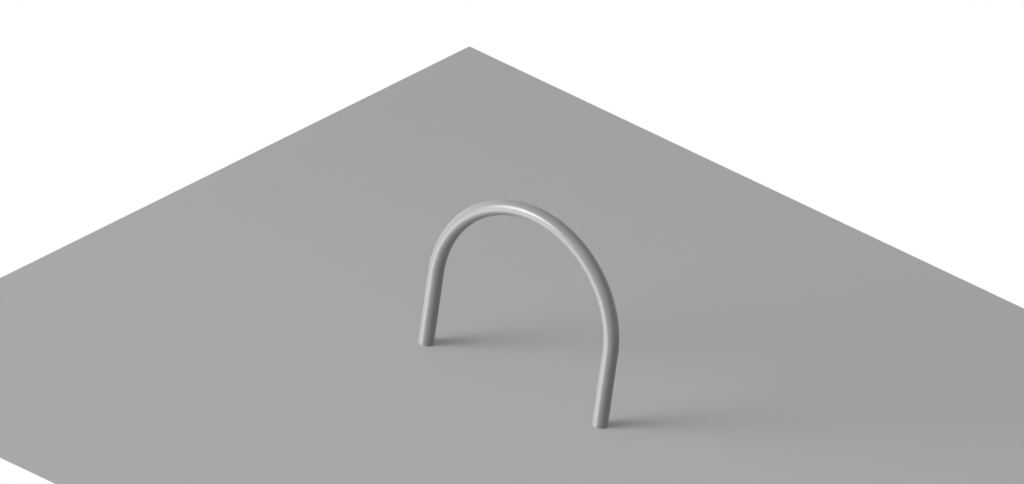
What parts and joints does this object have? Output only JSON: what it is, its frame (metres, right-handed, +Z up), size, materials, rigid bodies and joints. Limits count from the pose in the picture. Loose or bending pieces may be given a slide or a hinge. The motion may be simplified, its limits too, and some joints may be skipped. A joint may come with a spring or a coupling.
{
  "type": "hoop bike rack",
  "caption": "Bike rack: a round tube bent to an upright hoop, whose legs run down through the paving to base plates held by expansion bolts.",
  "frame": {"origin": "midway between the centre lines of the two legs, at the level of the paving", "axes": "+X along the hoop, from the left leg to the right one; +Y across the hoop, away from the side that the picture shows; +Z up"},
  "size_m": [0.982, 0.15, 0.9549],
  "materials": {
    "tube": "steel, powder coated in a plain mid grey, smooth and glossy",
    "plate": "rolled steel plate, powder coated together with the tube",
    "weld": "weld metal with ripples, powder coated together with the tube",
    "fastener": "zinc-plated fastener steel"
  },
  "bodies": {
    "root": {"hoop": "tube", "base_plate_left": "plate", "base_plate_right": "plate", "weld_left": "weld", "weld_right": "weld", "expansion_bolts_left": "fastener", "expansion_bolts_right": "fastener", "expansion_sleeves_left": "fastener", "expansion_sleeves_right": "fastener", "washers_left": "fastener", "washers_right": "fastener", "nuts_left": "fastener", "nuts_right": "fastener"}
  },
  "joints": []
}
